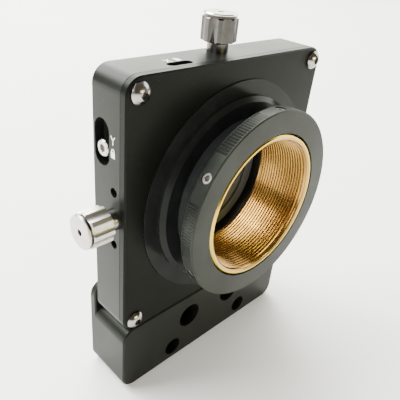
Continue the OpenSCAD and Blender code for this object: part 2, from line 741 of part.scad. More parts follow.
module grip_collar() {
    pitch = 360 / collar_screws;
    color([0.09, 0.09, 0.095]) difference() {
        turned([[collar_in_r + 0.2, collar_front_y], [collar_r - 0.35, collar_front_y],
            [collar_r, collar_front_y + 0.35], [collar_r, band_y - 0.2], [collar_r - 0.2, band_y],
            [collar_back_r, collar_back_y], [neck_r + run_gap, collar_back_y],
            [neck_r + run_gap, snap_y + snap_w + 0.1], [neck_r + 0.5, snap_y + snap_w + 0.1],
            [neck_r + 0.5, snap_y - 0.1], [neck_r + run_gap, snap_y - 0.1],
            [neck_r + run_gap, neck_front_y - 0.1], [collar_in_r, neck_front_y - 0.1],
            [collar_in_r, collar_front_y + 0.2]]);
        translate([stage_x, band_y - 0.45, stage_z]) rotate([90, 0, 0]) linear_extrude(collar_band - 1)
            for (i = [0 : collar_screws - 1]) knurl_cutter(knurl_first + (i + 0.5) * pitch);
        at_set_screws() translate([0, 0, collar_in_r - over]) cylinder(r = m3_r, h = collar_r);
    }
}

module collar_set_screws() {
    l = collar_r - set_screw_in - lip_outer_r - fit_gap;
    color([0.25, 0.25, 0.25]) at_set_screws() translate([0, 0, lip_outer_r + fit_gap]) difference() {
        cylinder(r = m3_r - fit_gap, h = l);
        translate([0, 0, l - 1.5]) cylinder(d = 1.5 / cos(30), h = 1.5 + over, $fn = 6);
    }
}

module thread_ring() {
    color([0.80, 0.62, 0.30]) turned([[lip_r, collar_front_y], [lip_outer_r - 0.15, collar_front_y],
        [lip_outer_r, collar_front_y + 0.15], [lip_outer_r, collar_front_y + flange_l],
        [brass_tube_r, collar_front_y + flange_l], [brass_tube_r, thread_end_y],
        [thread_r, thread_end_y], [thread_r, collar_front_y + lip_chamfer]]);
}

base_block();
frame_body();
front_cover();
cover_screws();
base_screws();
upright_guide_rods();
upright_springs();
side_springs();
side_spring_anchor_pins();
side_bushing();
top_bushing();
upright_slide();
cross_guide_rods();
top_thrust_pad();
top_ball_tip();
upright_lock_screw();
stage_slide();
side_thrust_pad();
side_spring_stage_pins();
neck_tube();
inner_tube();
spacer_ring();
aperture_ring();
snap_ring();
sideways_lock_screw();
grip_collar();
collar_set_screws();
thread_ring();
side_ball_tip();
side_adjuster_screw();
side_knob();
top_adjuster_screw();
top_knob();
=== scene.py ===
import math

import bmesh
import bpy
from bpy.props import FloatProperty, FloatVectorProperty, IntProperty, PointerProperty
from mathutils import Matrix, Vector


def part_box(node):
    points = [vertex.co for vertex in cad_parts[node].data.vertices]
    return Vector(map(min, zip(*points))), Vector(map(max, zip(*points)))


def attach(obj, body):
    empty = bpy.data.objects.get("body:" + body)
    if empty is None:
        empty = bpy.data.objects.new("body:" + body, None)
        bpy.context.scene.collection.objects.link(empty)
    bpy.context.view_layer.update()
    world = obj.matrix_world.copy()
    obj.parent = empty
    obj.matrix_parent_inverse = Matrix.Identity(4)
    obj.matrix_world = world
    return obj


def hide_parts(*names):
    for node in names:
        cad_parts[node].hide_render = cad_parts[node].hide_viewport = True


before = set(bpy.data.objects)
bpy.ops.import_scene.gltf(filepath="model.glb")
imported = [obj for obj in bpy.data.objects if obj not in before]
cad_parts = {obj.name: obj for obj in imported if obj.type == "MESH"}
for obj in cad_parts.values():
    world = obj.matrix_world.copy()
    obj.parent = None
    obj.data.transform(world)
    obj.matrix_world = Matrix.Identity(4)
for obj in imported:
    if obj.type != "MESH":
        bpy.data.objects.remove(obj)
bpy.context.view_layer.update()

bl_info = {
    "name": "Two-axis lens mount",
    "version": (1, 0, 0),
    "blender": (4, 5, 0),
    "location": "3D View > Sidebar > Lens mount",
    "description": "Finishes, brass thread, engraved marks and studio for a two-axis lens mount",
    "category": "Object",
}

MM = 0.001
WELD, FINE_WELD = 1e-6, 1e-7  # vertices nearer to each other than this are one, in metres

# Places taken from the solids, in metres
RING_LOW, RING_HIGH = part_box("thread_ring")
BRASS_FRONT, BRASS_BACK = RING_LOW.y, RING_HIGH.y
STAGE_X = (RING_LOW.x + RING_HIGH.x) / 2
STAGE_Z = (RING_LOW.z + RING_HIGH.z) / 2
STAGE_AXIS = (STAGE_X, 0.0, STAGE_Z)
FRAME_LOW, FRAME_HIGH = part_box("frame_body")
COVER_FRONT, COVER_BACK = (corner.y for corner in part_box("front_cover"))
SIDE_KNOB_LOW, SIDE_KNOB_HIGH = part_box("side_knob")
TOP_KNOB_LOW, TOP_KNOB_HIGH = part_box("top_knob")
SIDE_CENTRE = (SIDE_KNOB_LOW + SIDE_KNOB_HIGH) / 2
TOP_CENTRE = (TOP_KNOB_LOW + TOP_KNOB_HIGH) / 2
# Where each knob's end face is on its axis, and which way leads into the knob
SIDE_CAP, TOP_CAP = (SIDE_KNOB_LOW.x, 1), (TOP_KNOB_HIGH.z, -1)


# Sizes, colours and studio settings that a user would change

class LensMountSizes(bpy.types.PropertyGroup):
    thread_pitch: FloatProperty(
        name="Thread pitch", description="Distance from one thread groove to the next",
        default=1.0 * MM, subtype="DISTANCE", unit="LENGTH")
    thread_crest_r: FloatProperty(
        name="Thread crest radius", description="Radius of the brass thread's crests",
        default=20.5 * MM, subtype="DISTANCE", unit="LENGTH")
    thread_depth: FloatProperty(
        name="Thread depth", description="Depth of the thread grooves",
        default=0.5 * MM, subtype="DISTANCE", unit="LENGTH")
    lip_outer_r: FloatProperty(
        name="Lip outer radius", description="Outer radius of the brass ring's front end",
        default=22.66 * MM, subtype="DISTANCE", unit="LENGTH")
    lip_r: FloatProperty(
        name="Lip inner radius", description="Inner radius of the lip, where the lead-in starts",
        default=21.72 * MM, subtype="DISTANCE", unit="LENGTH")
    lip_depth: FloatProperty(
        name="Lead-in depth", description="How far in the steep part of the lead-in ends",
        default=0.35 * MM, subtype="DISTANCE", unit="LENGTH")
    lip_bevel: FloatProperty(
        name="Lip bevel", description="Width and depth of the bevel on the lip's outer edge",
        default=0.5 * MM, subtype="DISTANCE", unit="LENGTH")
    seat_gap: FloatProperty(
        name="Seat gap", description="Gap between the brass lip and the collar's seat round it",
        default=0.26 * MM, subtype="DISTANCE", unit="LENGTH")
    seat_r: FloatProperty(
        name="Seat radius", description="Outer radius of the collar's seat, inside the collar",
        default=24.0 * MM, subtype="DISTANCE", unit="LENGTH")
    seat_l: FloatProperty(
        name="Seat length", description="Length of the collar's seat round the brass lip",
        default=3.0 * MM, subtype="DISTANCE", unit="LENGTH")
    face_r: FloatProperty(
        name="Stage face radius", description="Radius of the stage's round face",
        default=34.25 * MM, subtype="DISTANCE", unit="LENGTH")
    face_inner_r: FloatProperty(
        name="Stage face bore", description="Inner radius of the raised face, inside the stage",
        default=27.0 * MM, subtype="DISTANCE", unit="LENGTH")
    face_proud: FloatProperty(
        name="Stage face height", description="How far the stage's face stands before the cover",
        default=0.4 * MM, subtype="DISTANCE", unit="LENGTH")
    opening_r: FloatProperty(
        name="Cover opening", description="Radius of the cover's opening behind the stage's face",
        default=33.0 * MM, subtype="DISTANCE", unit="LENGTH")
    travel: FloatProperty(
        name="Stage travel", description="How far the stage moves either way",
        default=1.0 * MM, subtype="DISTANCE", unit="LENGTH")
    flange_l: FloatProperty(
        name="Flange length", description="Length of the brass ring's thick front end",
        default=3.8 * MM, subtype="DISTANCE", unit="LENGTH")
    sleeve_r: FloatProperty(
        name="Sleeve radius", description="Outer radius of the brass ring behind its front end",
        default=22.5 * MM, subtype="DISTANCE", unit="LENGTH")
    tail_r: FloatProperty(
        name="Tail radius", description="Inner radius at the brass ring's back edge",
        default=20.95 * MM, subtype="DISTANCE", unit="LENGTH")
    round_steps: IntProperty(
        name="Steps round the thread", description="Number of facets in one turn of the thread",
        default=320, min=64)
    mark_height: FloatProperty(
        name="Mark height", description="Height of the axis letters and of the padlocks",
        default=2.0 * MM, subtype="DISTANCE", unit="LENGTH")
    mark_stroke: FloatProperty(
        name="Mark stroke", description="Width of the marks' strokes",
        default=0.34 * MM, subtype="DISTANCE", unit="LENGTH")
    mark_fill: FloatProperty(
        name="Mark fill", description="Height of the marks' paint over the face",
        default=0.012 * MM, subtype="DISTANCE", unit="LENGTH")


class LensMountColours(bpy.types.PropertyGroup):
    black: FloatVectorProperty(
        name="Black anodising", description="Colour of the frame, foot and slides",
        subtype="COLOR", size=3, default=(0.0115, 0.0125, 0.0108))
    gloss: FloatVectorProperty(
        name="Glossy black", description="Colour of the stage's round face and the neck",
        subtype="COLOR", size=3, default=(0.0050, 0.0055, 0.0054))
    inner_black: FloatVectorProperty(
        name="Dull black", description="Colour of the tube behind the brass ring",
        subtype="COLOR", size=3, default=(0.0060, 0.0060, 0.0065))
    ring_grey: FloatVectorProperty(
        name="Ring grey", description="Colour of the rings round the aperture",
        subtype="COLOR", size=3, default=(0.085, 0.092, 0.088))
    brass: FloatVectorProperty(
        name="Brass", description="Colour of the turned brass",
        subtype="COLOR", size=3, default=(0.45, 0.265, 0.068))
    brass_lip: FloatVectorProperty(
        name="Brass lip", description="Colour of the polished brass lip",
        subtype="COLOR", size=3, default=(0.62, 0.43, 0.065))
    # Painted shade: the dark colour of the brass's outer edge beside the collar's seat
    brass_seat_shade: FloatVectorProperty(
        name="Brass in the seat", description="Colour of the brass beside the collar's seat",
        subtype="COLOR", size=3, default=(0.03, 0.02, 0.012))
    # Painted shade: the dark brown laid into the thread roots
    brass_root_shade: FloatVectorProperty(
        name="Brass in the roots", description="Colour of the brass at the bottom of the grooves",
        subtype="COLOR", size=3, default=(0.25, 0.115, 0.036))
    steel: FloatVectorProperty(
        name="Steel", description="Colour of the knobs and bright screws",
        subtype="COLOR", size=3, default=(0.56, 0.535, 0.50))
    dark_steel: FloatVectorProperty(
        name="Blackened steel", description="Colour of the set screws and countersunk screws",
        subtype="COLOR", size=3, default=(0.075, 0.075, 0.08))
    # Painted shade: the dark colour laid into the knobs' groove behind the cap
    groove_shade: FloatVectorProperty(
        name="Groove dirt", description="Colour of the dirt in the knobs' grooves",
        subtype="COLOR", size=3, default=(0.055, 0.048, 0.042))
    dust: FloatVectorProperty(
        name="Dust", description="Colour of the dust specks on the anodising",
        subtype="COLOR", size=3, default=(0.11, 0.11, 0.10))
    mark: FloatVectorProperty(
        name="Mark paint", description="Colour of the marks' paint",
        subtype="COLOR", size=3, default=(0.86, 0.87, 0.82))
    floor: FloatVectorProperty(
        name="Floor", description="Colour of the pale floor",
        subtype="COLOR", size=3, default=(0.95, 0.94, 0.92))


class LensMountStudio(bpy.types.PropertyGroup):
    camera_place: FloatVectorProperty(
        name="Camera place", description="Place of the camera",
        subtype="TRANSLATION", unit="LENGTH", size=3, default=(-0.097517, -0.088669, 0.131970))
    camera_pan: FloatProperty(
        name="Camera pan", description="Turn of the camera about the upright axis",
        subtype="ANGLE", default=-0.827)
    camera_tilt: FloatProperty(
        name="Camera tilt", description="How far the camera looks down",
        subtype="ANGLE", default=0.534)
    camera_roll: FloatProperty(
        name="Camera roll", description="Roll of the camera about its line of sight",
        subtype="ANGLE", default=0.106)
    camera_lens: FloatProperty(
        name="Focal length", description="Focal length for a 36 mm wide sensor",
        default=41.92, min=1)
    camera_shift: FloatVectorProperty(
        name="Camera shift", description="Shift of the picture across and up",
        size=2, precision=4, default=(-0.0003, 0.0017))
    key_light: FloatProperty(
        name="Key light", description="Power of the large panel behind on the left",
        default=26.0, min=0, subtype="POWER")
    wall_light: FloatProperty(
        name="Wall light", description="Power of the white wall behind on the right",
        default=75.0, min=0, subtype="POWER")
    back_light: FloatProperty(
        name="Back light", description="Power of the large panel behind and above",
        default=80.0, min=0, subtype="POWER")
    left_light: FloatProperty(
        name="Left light", description="Power of the panel on the left",
        default=12.0, min=0, subtype="POWER")
    right_light: FloatProperty(
        name="Right light", description="Power of the panel on the right",
        default=13.0, min=0, subtype="POWER")
    front_light: FloatProperty(
        name="Front light", description="Power of the low panel in front",
        default=16.0, min=0, subtype="POWER")
    room_behind: FloatProperty(
        name="Room behind", description="Strength of the light from the room behind",
        default=0.6, min=0)
    room_in_front: FloatProperty(
        name="Room in front", description="Strength of the light from the room in front",
        default=0.15, min=0)
    behind_colour: FloatVectorProperty(
        name="Colour behind", description="Colour of the light from the room behind",
        subtype="COLOR", size=3, default=(1.0, 0.99, 0.97))
    front_colour: FloatVectorProperty(
        name="Colour in front", description="Colour of the light from the room in front",
        subtype="COLOR", size=3, default=(1.0, 0.84, 0.75))
    floor_size: FloatProperty(
        name="Floor size", description="Length of the floor's sides",
        default=6.0, subtype="DISTANCE", unit="LENGTH")


# Material helpers

class Shader:
    """A material's node tree, with short calls for the nodes the finishes use."""

    def __init__(self, name):
        self.material = bpy.data.materials.new(name)
        self.material.use_nodes = True
        self.tree = self.material.node_tree
        self.bsdf = self.tree.nodes["Principled BSDF"]
        self.place = self.node("ShaderNodeTexCoord").outputs["Object"]

    def node(self, kind, **settings):
        made = self.tree.nodes.new(kind)
        for key, value in settings.items():
            setattr(made, key, value)
        return made

    def put(self, value, socket):
        if isinstance(value, bpy.types.NodeSocket):
            self.tree.links.new(value, socket)
        else:
            socket.default_value = value

    def math(self, operation, *values):
        made = self.node("ShaderNodeMath", operation=operation)
        for value, socket in zip(values, made.inputs):
            self.put(value, socket)
        return made.outputs[0]

    def noise(self, scale, detail=2.0, rough=0.5, stretch=None):
        """Soft noise from 0 to 1 with features of about 1/scale metres."""
        place = self.place
        if stretch:
            scaled = self.node("ShaderNodeVectorMath", operation="MULTIPLY")
            self.put(place, scaled.inputs[0])
            scaled.inputs[1].default_value = stretch
            place = scaled.outputs[0]
        made = self.node("ShaderNodeTexNoise")
        self.put(place, made.inputs["Vector"])
        made.inputs["Scale"].default_value = scale
        made.inputs["Detail"].default_value = detail
        made.inputs["Roughness"].default_value = rough
        return made.outputs["Fac"]

    def line_noise(self, value, scale, detail=3.0):
        """Noise that changes only with one value, such as a radius: turning marks."""
        made = self.node("ShaderNodeTexNoise", noise_dimensions="1D")
        self.put(self.math("MULTIPLY", value, scale), made.inputs["W"])
        made.inputs["Scale"].default_value = 1.0
        made.inputs["Detail"].default_value = detail
        return made.outputs["Fac"]

    def spread(self, value, low, high, to_low, to_high):
        """A value's range from low to high spread to another range, and clamped to it."""
        made = self.node("ShaderNodeMapRange", clamp=True)
        for v, key in zip((value, low, high, to_low, to_high),
                          ("Value", "From Min", "From Max", "To Min", "To Max")):
            self.put(v, made.inputs[key])
        return made.outputs[0]

    def blend(self, share, low, high):
        """The colour low where the share is 0, and high where it is 1."""
        made = self.node("ShaderNodeMix", data_type="RGBA")
        self.put(share, made.inputs["Factor"])
        for v, key in ((low, 6), (high, 7)):
            self.put(v if isinstance(v, bpy.types.NodeSocket) else (*v, 1.0), made.inputs[key])
        return made.outputs[2]

    def mottle(self, pattern, start, end, low, high):
        """A colour that drifts from low to high while a pattern goes from start to end."""
        return self.blend(self.spread(pattern, start, end, 0.0, 1.0), low, high)

    def axes(self):
        made = self.node("ShaderNodeSeparateXYZ")
        self.put(self.place, made.inputs[0])
        return made.outputs

    def radius(self, a, a0, b, b0):
        """Distance from the axis at (a0, b0) in the plane of the coordinates a and b."""
        da, db = self.math("SUBTRACT", a, a0), self.math("SUBTRACT", b, b0)
        return self.math("SQRT", self.math("ADD", self.math("MULTIPLY", da, da),
                                           self.math("MULTIPLY", db, db)))

    def stage_axis(self):
        """Distance from the stage's axis, and the place along it."""
        x, y, z = self.axes()
        return self.radius(x, STAGE_X, z, STAGE_Z), y

    def bump(self, height, distance, strength=1.0, under=None):
        """A bump of the given height in metres, on top of the one under it."""
        made = self.node("ShaderNodeBump")
        self.put(height, made.inputs["Height"])
        made.inputs["Distance"].default_value = distance
        made.inputs["Strength"].default_value = strength
        if under:
            self.put(under, made.inputs["Normal"])
        return made.outputs["Normal"]

    def finish(self, colour, rough, normal, **sockets):
        """Joins the parts to the surface, and gives its other sockets plain values."""
        self.put(colour, self.bsdf.inputs["Base Color"])
        self.put(rough, self.bsdf.inputs["Roughness"])
        self.put(normal, self.bsdf.inputs["Normal"])
        for key, value in sockets.items():
            self.bsdf.inputs[key.replace("_", " ")].default_value = value
        return self.material


def tone(colour, factor):
    """A colour made lighter or darker."""
    return tuple(min(1.0, c * factor) for c in colour)


SHEEN = (0.93, 1.0, 0.84, 1.0)  # the slightly green sheen of black anodising


def anodised(name, colour, rough, grain=1.0, specular=0.2):
    """Black anodised aluminium: fine blasted grain, soft handling smears, slight tone changes."""
    s = Shader(name)
    clouds = s.noise(95, 4, 0.55)
    smears = s.noise(30, 3, 0.6, stretch=(1.0, 1.0, 0.35))
    grit = s.noise(5200, 2, 0.6)
    colour = s.mottle(clouds, 0.35, 0.65, tone(colour, 0.88), tone(colour, 1.14))
    specks = s.spread(s.noise(2600, 0), 0.80, 0.84, 0.0, 0.35)
    colour = s.blend(specks, colour, tuple(bpy.context.scene.lens_mount_colours.dust))
    roughness = s.math("ADD", s.spread(smears, 0.3, 0.7, rough - 0.05, rough + 0.05),
                       s.spread(grit, 0.3, 0.7, -0.03, 0.03))
    normal = s.bump(grit, 0.006 * MM * grain, 1.0, s.bump(clouds, 0.03 * MM, 0.35))
    return s.finish(colour, roughness, normal, Specular_IOR_Level=specular,
                    Specular_Tint=SHEEN)


def turned_black(name, colour, rough, marks=1.0, specular=0.2):
    """Black turned aluminium with fine rings round the stage's axis."""
    s = Shader(name)
    rings = s.line_noise(s.math("ADD", *s.stage_axis()), 9000)
    clouds = s.noise(120, 3)
    colour = s.mottle(clouds, 0.35, 0.65, tone(colour, 0.85), tone(colour, 1.2))
    roughness = s.math("ADD", s.spread(s.noise(40, 3), 0.3, 0.7, rough - 0.03, rough + 0.04),
                       s.spread(rings, 0.3, 0.7, -0.02, 0.02))
    normal = s.bump(rings, 0.004 * MM * marks, 1.0, s.bump(s.noise(4200), 0.003 * MM))
    return s.finish(colour, roughness, normal, Specular_IOR_Level=specular,
                    Specular_Tint=SHEEN)


def turned_steel(name, colour, rough, along, centre, side=None, cap=None):
    """Turned and polished steel round an axis, 0 for X and 2 for Z, through a centre. With a
    knob's cap, the groove behind the cap gets painted shade, and side is the colour behind the
    cap."""
    s = Shader(name)
    axes = s.axes()
    first, second = [i for i in range(3) if i != along]
    radius = s.radius(axes[first], centre[first], axes[second], centre[second])
    lines = s.line_noise(s.math("ADD", radius, axes[along]), 12000)
    stains = s.noise(420, 3, 0.6)
    spots = s.spread(stains, 0.35, 0.7, 0, 1)
    colour = s.blend(spots, colour, tone(colour, 0.86))
    if cap:
        # KNOB_CUT puts the groove 0.5 to 1.2 mm behind the end face, at a radius of 4.45 mm
        end, sense = cap
        inwards = s.math("MULTIPLY", s.math("SUBTRACT", axes[along], end), sense)
        behind = s.spread(inwards, 0.42 * MM, 0.5 * MM, 0.0, 1.0)
        # Behind the cap the colour turns to side, which for the top knob is a darker copy of the
        # steel: painted shade
        if side:
            colour = s.blend(behind, colour, s.blend(spots, side, tone(side, 0.8)))
        # The groove behind the cap is darkened with painted shade
        near = s.spread(inwards, 1.2 * MM, 1.3 * MM, 1.0, 0.0)
        low = s.spread(radius, 4.5 * MM, 4.66 * MM, 1.0, 0.0)
        groove = s.math("MULTIPLY", s.math("MULTIPLY", behind, near), low)
        colour = s.blend(groove, colour, tuple(bpy.context.scene.lens_mount_colours.groove_shade))
    roughness = s.math("ADD", s.spread(stains, 0.3, 0.7, rough - 0.03, rough + 0.05),
                       s.spread(lines, 0.3, 0.7, -0.03, 0.04))
    normal = s.bump(lines, 0.003 * MM, 1.0, s.bump(s.noise(3000), 0.002 * MM))
    return s.finish(colour, roughness, normal, Metallic=1.0)


def plain_steel(name, colour, rough):
    """Small steel pieces: fine grain, faint stains, tiny pits."""
    s = Shader(name)
    stains = s.noise(700, 3, 0.6)
    pits = s.noise(5200, 1)
    colour = s.mottle(stains, 0.35, 0.7, colour, tone(colour, 0.8))
    roughness = s.spread(stains, 0.3, 0.7, rough - 0.05, rough + 0.07)
    return s.finish(colour, roughness, s.bump(pits, 0.004 * MM), Metallic=1.0)


def turned_brass(name, sizes, colours):
    """Turned brass: painted shade in the thread roots and on the lip's outer edge beside the
    collar's seat, bright lip, turning marks, light tarnish.
    """
    s = Shader(name)
    radius, y = s.stage_axis()
    crest, root = sizes.thread_crest_r, sizes.thread_crest_r + sizes.thread_depth
    # Painted shade: the colour turns browner and darker towards the thread roots, from half a
    # millimetre inside the front
    root_shade = s.spread(radius, crest + 0.1 * MM, root - 0.05 * MM, 0.0, 0.3)
    inside = s.spread(y, BRASS_FRONT + 0.5 * MM, BRASS_FRONT + 1.0 * MM, 0.0, 1.0)
    tarnish = s.noise(160, 4, 0.6, stretch=(1.0, 2.2, 1.0))
    colour = s.mottle(tarnish, 0.4, 0.72, tuple(colours.brass), tone(colours.brass, 0.78))
    colour = s.blend(s.math("MULTIPLY", root_shade, inside), colour, tuple(colours.brass_root_shade))
    colour = s.mottle(radius, sizes.lip_r - 0.1 * MM, sizes.lip_r, colour,
                      tuple(colours.brass_lip))
    # Painted shade on the lip's outer edge, in the gap beside the collar's seat
    colour = s.mottle(radius, sizes.lip_outer_r - 0.06 * MM, sizes.lip_outer_r, colour,
                      tuple(colours.brass_seat_shade))
    marks = s.line_noise(y, 16000, 2)
    roughness = s.math("ADD", s.spread(tarnish, 0.3, 0.75, 0.18, 0.27),
                       s.spread(marks, 0.3, 0.7, -0.02, 0.04))
    normal = s.bump(marks, 0.002 * MM, 1.0, s.bump(s.noise(2600), 0.0015 * MM))
    return s.finish(colour, roughness, normal, Metallic=1.0)


def paint_fill(name, colour):
    """Paint of the marks, slightly uneven."""
    s = Shader(name)
    wear = s.noise(2600, 3, 0.6)
    colour = s.mottle(wear, 0.45, 0.75, colour, tone(colour, 0.72))
    return s.finish(colour, s.spread(wear, 0.3, 0.7, 0.45, 0.65), s.bump(wear, 0.006 * MM))


def pale_floor(name, colour):
    """Pale matt paper with faint clouds and a fine grain."""
    s = Shader(name)
    clouds = s.noise(6, 3)
    colour = s.mottle(clouds, 0.35, 0.65, tone(colour, 0.985), tone(colour, 1.01))
    grain = s.noise(900, 3)
    return s.finish(colour, s.spread(grain, 0.3, 0.7, 0.55, 0.65), s.bump(grain, 0.02 * MM),
                    Specular_IOR_Level=0.2)


# Object and mesh helpers

def dress(material, *nodes):
    """Gives CAD nodes their finish."""
    for name in nodes:
        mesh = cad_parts[name].data
        mesh.materials.clear()
        mesh.materials.append(material)


def add_object(name, data):
    """An object in the scene's own collection."""
    made = bpy.data.objects.new(name, data)
    bpy.context.scene.collection.objects.link(made)
    return made


def to_mesh(name, made):
    """A mesh from a bmesh, which is freed."""
    mesh = bpy.data.meshes.new(name)
    made.to_mesh(mesh)
    made.free()
    return mesh


def new_piece(name, made, material, body, smooth=True):
    """A mesh object from a bmesh, with its finish, riding on a body."""
    mesh = to_mesh(name, made)
    mesh.materials.append(material)
    mesh.polygons.foreach_set("use_smooth", [smooth] * len(mesh.polygons))
    piece = add_object(name, mesh)
    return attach(piece, body)


def join_loops(made, pairs):
    """Bands of faces between pairs of closed loops of vertices."""
    for one, two in pairs:
        for i in range(len(one)):
            j = (i + 1) % len(one)
            made.faces.new((one[i], one[j], two[j], two[i]))


# Turned rings, and CAD pieces with a ring joined to them or cut from them

RING_STEPS = 288
KNOB_STEPS = 96
DIAGONAL = 1.4143  # travel of the stage with both slides at their limits, per travel of one
# Outside, groove and chamfered cap of a knob, in mm: radius, distance from the end face
KNOB_CUT = ((5.3, 1.48), (5.02, 1.48), (4.76, 1.2), (4.45, 1.2), (4.45, 0.5), (4.72, 0.5),
            (4.72, 0.25), (4.5, 0.0), (4.5, -0.2), (5.3, -0.2))


def turned_loops(made, profile, steps, centre, along):
    """A loop of vertices round an axis for each radius and place in a profile."""
    first, second = [i for i in range(3) if i != along]
    loops = []
    for r, height in profile:
        loop = []
        for i in range(steps):
            turn = 2 * math.pi * i / steps
            spot = [height] * 3
            spot[first] = centre[first] + r * math.cos(turn)
            spot[second] = centre[second] + r * math.sin(turn)
            loop.append(made.verts.new(spot))
        loops.append(loop)
    return loops


def turned_ring(profile, steps=RING_STEPS, centre=STAGE_AXIS, along=1):
    """A closed ring from a closed profile of radius and place along an axis."""
    made = bmesh.new()
    loops = turned_loops(made, profile, steps, centre, along)
    join_loops(made, zip(loops, loops[1:] + loops[:1]))
    bmesh.ops.recalc_face_normals(made, faces=made.faces)
    return made


def mark_sharp(made, degrees):
    """Keeps the edges sharp where two faces meet at more than an angle."""
    angle = math.radians(degrees)
    for edge in made.edges:
        if len(edge.link_faces) == 2 and edge.calc_face_angle(0) > angle:
            edge.smooth = False


def with_ring(name, node, ring, material, body, operation="UNION"):
    """A piece that stands for a CAD node, with a ring joined to it or cut from it."""
    made = bmesh.new()
    made.from_mesh(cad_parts[node].data)
    bmesh.ops.remove_doubles(made, verts=made.verts, dist=WELD)
    base, added = [add_object("part", to_mesh("part", shape)) for shape in (made, ring)]
    join = base.modifiers.new("Join", "BOOLEAN")
    join.operation, join.object, join.solver = operation, added, "EXACT"
    depsgraph = bpy.context.evaluated_depsgraph_get()
    mesh = bpy.data.meshes.new_from_object(base.evaluated_get(depsgraph))
    made = bmesh.new()
    made.from_mesh(mesh)
    for part in (base, added):
        bpy.data.objects.remove(part)
    bmesh.ops.remove_doubles(made, verts=made.verts, dist=FINE_WELD)
    mark_sharp(made, 30)
    piece = new_piece(name, made, material, body)
    if "custom_normal" in piece.data.attributes:
        piece.data.attributes.remove(piece.data.attributes["custom_normal"])
    shading = piece.modifiers.new("Flat faces stay flat", "WEIGHTED_NORMAL")
    shading.keep_sharp = True
    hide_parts(node)
    return piece


# The brass ring's thread

# One pitch of the thread: share of the pitch, share of the depth, rounded at crest and root
THREAD_FORM = ((0.0, 0.0), (0.10, 0.0), (0.15, 0.07), (0.43, 0.92), (0.48, 1.0),
               (0.60, 1.0), (0.66, 0.92), (0.94, 0.07))
LEAD_SLOPE = 0.45  # how fast the gentle part of the lead-in closes on the crests


def thread_mesh(sizes):
    """A closed brass ring whose bore is one helical groove."""
    steps, form = sizes.round_steps, THREAD_FORM
    front, back = BRASS_FRONT, BRASS_BACK
    crest, depth, pitch = sizes.thread_crest_r, sizes.thread_depth, sizes.thread_pitch
    root = crest + depth
    end_r = max(sizes.tail_r, root)
    steep = (sizes.lip_r - root) / sizes.lip_depth

    def bore_r(y, share):
        """Radius of the thread, or of the lead-in or the tail where that is wider."""
        inwards = y - front - sizes.lip_depth
        lead = root - inwards * (steep if inwards < 0 else LEAD_SLOPE)
        tail = sizes.tail_r - max(0.0, back - y)
        return max(crest + depth * share, lead, tail)

    rows = []
    turns = int(math.ceil((back - front) / pitch)) + 1
    made = bmesh.new()
    for i in range(turns * steps + 1):
        angle = 2 * math.pi * i / steps
        row = []
        for along, share in form:
            y = front + pitch * (i / steps - 1 + along)
            if y <= front:
                y, r = front, sizes.lip_r
            elif y >= back:
                y, r = back, end_r
            else:
                r = bore_r(y, share)
            row.append(made.verts.new((STAGE_X + r * math.cos(angle), y,
                                       STAGE_Z + r * math.sin(angle))))
        rows.append(row)
    last = len(form) - 1
    for i in range(turns * steps):
        for k in range(last):
            made.faces.new((rows[i][k], rows[i][k + 1], rows[i + 1][k + 1], rows[i + 1][k]))
        if i + steps + 1 <= turns * steps:
            made.faces.new((rows[i][last], rows[i + steps][0], rows[i + steps + 1][0],
                            rows[i + 1][last]))
    # The outside, from the front lip round to the back edge
    lip, sleeve, bevel = sizes.lip_outer_r, sizes.sleeve_r, sizes.lip_bevel
    flange, rim = front + sizes.flange_l, 0.05 * MM
    outside = [(sizes.lip_r, front), (sizes.lip_r + rim, front),
               (lip - bevel, front), (lip, front + bevel),
               (lip, flange), (sleeve, flange), (sleeve, back), (end_r, back)]
    loops = turned_loops(made, outside, steps, STAGE_AXIS, 1)
    join_loops(made, zip(loops, loops[1:]))
    bmesh.ops.remove_doubles(made, verts=made.verts, dist=WELD)
    bmesh.ops.dissolve_degenerate(made, edges=made.edges, dist=FINE_WELD)
    bmesh.ops.recalc_face_normals(made, faces=made.faces)
    mark_sharp(made, 15)
    return made


# Marks: thin slabs of paint over outlines in a plane

MARK_SUNK = -0.02 * MM  # the slabs start this far under the face


def stroke_outline(start, end, width, steps=6):
    """The outline of a straight stroke with round ends."""
    a, b = Vector(start), Vector(end)
    along = (b - a).normalized()
    side = Vector((-along.y, along.x))
    points = []
    for centre, turn in ((b, 1), (a, -1)):
        for k in range(steps + 1):
            angle = math.pi * (k / steps - 0.5)
            points.append(centre + width / 2 * turn
                          * (along * math.cos(angle) + side * math.sin(angle)))
    return points


def add_slab(made, points, thickness, to_world):
    """A slab over an outline in a plane."""
    low, high = [[made.verts.new(to_world @ Vector((p.x, p.y, height))) for p in points]
                 for height in (MARK_SUNK, thickness)]
    made.faces.new(high)
    made.faces.new(list(reversed(low)))
    join_loops(made, [(low, high)])


def padlock_outlines(size, stroke):
    """The outlines of a padlock: a body with round corners and a shackle over it."""
    # The body's half width, half height, corner radius and place; the shackle's radius
    w, h, corner, drop, r = (size * share for share in (0.40, 0.42, 0.08, 0.12, 0.25))
    arc_start, leg_end = h - drop + size * 0.08, h - size * 0.14
    body = []
    for cx, cy, first in ((w - corner, h - corner, 0), (corner - w, h - corner, 90),
                          (corner - w, corner - h, 180), (w - corner, corner - h, 270)):
        for k in range(4):
            angle = math.radians(first + 30 * k)
            body.append(Vector((cx + corner * math.cos(angle),
                                cy + corner * math.sin(angle) - drop)))
    arc = [Vector((r * math.cos(math.radians(a)), arc_start + r * math.sin(math.radians(a))))
           for a in range(0, 181, 20)]
    arc = [Vector((r, leg_end))] + arc + [Vector((-r, leg_end))]
    outer, inner = [], []
    for i, p in enumerate(arc):
        direction = (arc[min(i + 1, len(arc) - 1)] - arc[max(i - 1, 0)]).normalized()
        side = Vector((direction.y, -direction.x)) * stroke / 2
        outer.append(p + side)
        inner.append(p - side)
    return [body, outer + list(reversed(inner))]


# The studio

WHITE = (1, 1, 1)
